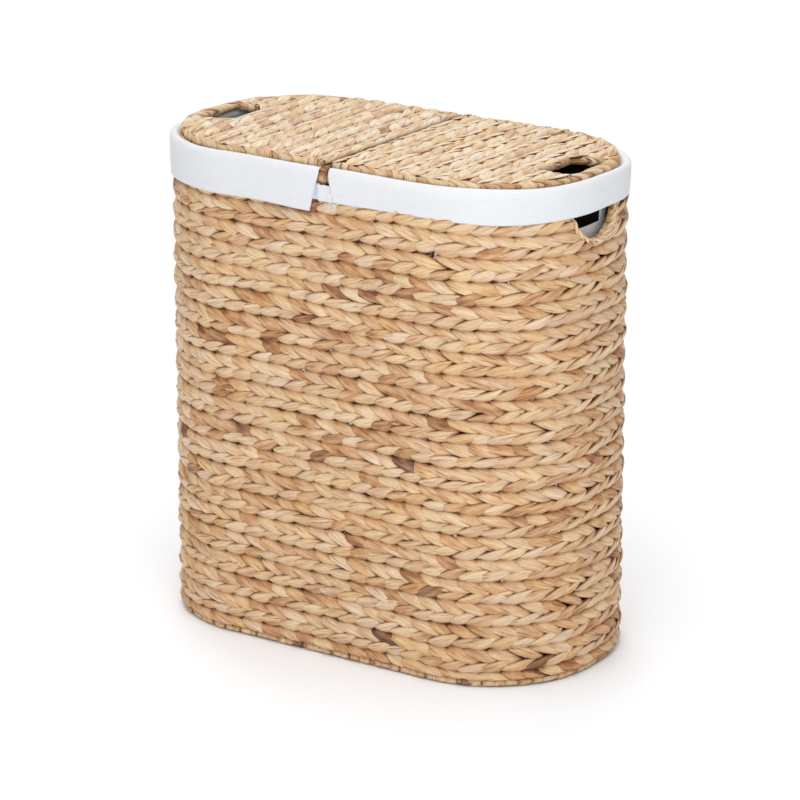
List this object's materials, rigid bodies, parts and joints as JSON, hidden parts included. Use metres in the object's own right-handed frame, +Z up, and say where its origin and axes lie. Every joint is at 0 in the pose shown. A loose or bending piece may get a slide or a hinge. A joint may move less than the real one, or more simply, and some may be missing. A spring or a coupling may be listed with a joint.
{
  "type": "laundry basket",
  "caption": "Oblong woven laundry basket on a wire frame, with two half lids hinged at a centre seam, canvas liners with folded cuffs, and hand slots.",
  "frame": {"origin": "centre of the footprint, on the floor", "axes": "+Z up; +X along the length, towards the right lid; +Y towards the rear; the lids' hinge seam runs along Y"},
  "size_m": [0.5946, 0.3228, 0.63],
  "materials": {
    "weave": "matte, dried water hyacinth",
    "wrap": "matte, dried water hyacinth",
    "tie_cord": "matte, twisted hyacinth cord",
    "canvas": "plain woven cotton",
    "frame_wire": "satin"
  },
  "bodies": {
    "basket": {"woven_wall": "weave", "woven_base": "weave", "base_binding": "wrap", "rim_binding": "wrap", "left_handle_binding": "wrap", "right_handle_binding": "wrap", "top_ring_wire": "frame_wire", "base_ring_wire": "frame_wire", "upright_wires": "frame_wire", "cross_wires": "frame_wire", "centre_bar": "frame_wire", "left_liner_bag": "canvas", "right_liner_bag": "canvas", "left_liner_floor": "canvas", "right_liner_floor": "canvas", "left_liner_cuff": "canvas", "right_liner_cuff": "canvas", "front_liner_strap": "canvas", "rear_liner_strap": "canvas", "front_hinge_tie": "tie_cord", "rear_hinge_tie": "tie_cord"},
    "left_lid": {"left_lid_panel": "weave", "left_lid_edge": "wrap", "left_lid_grip": "wrap", "left_lid_wire": "frame_wire"},
    "right_lid": {"right_lid_panel": "weave", "right_lid_edge": "wrap", "right_lid_grip": "wrap", "right_lid_wire": "frame_wire"}
  },
  "joints": [
    {"name": "left_lid_hinge", "type": "hinge", "parent": "basket", "child": "left_lid", "pos_m": [-0.007, 0, 0.6235], "axis": [0, 1, 0], "range_deg": [0, 90]},
    {"name": "right_lid_hinge", "type": "hinge", "parent": "basket", "child": "right_lid", "pos_m": [0.007, 0, 0.6235], "axis": [0, -1, 0], "range_deg": [0, 90]}
  ]
}
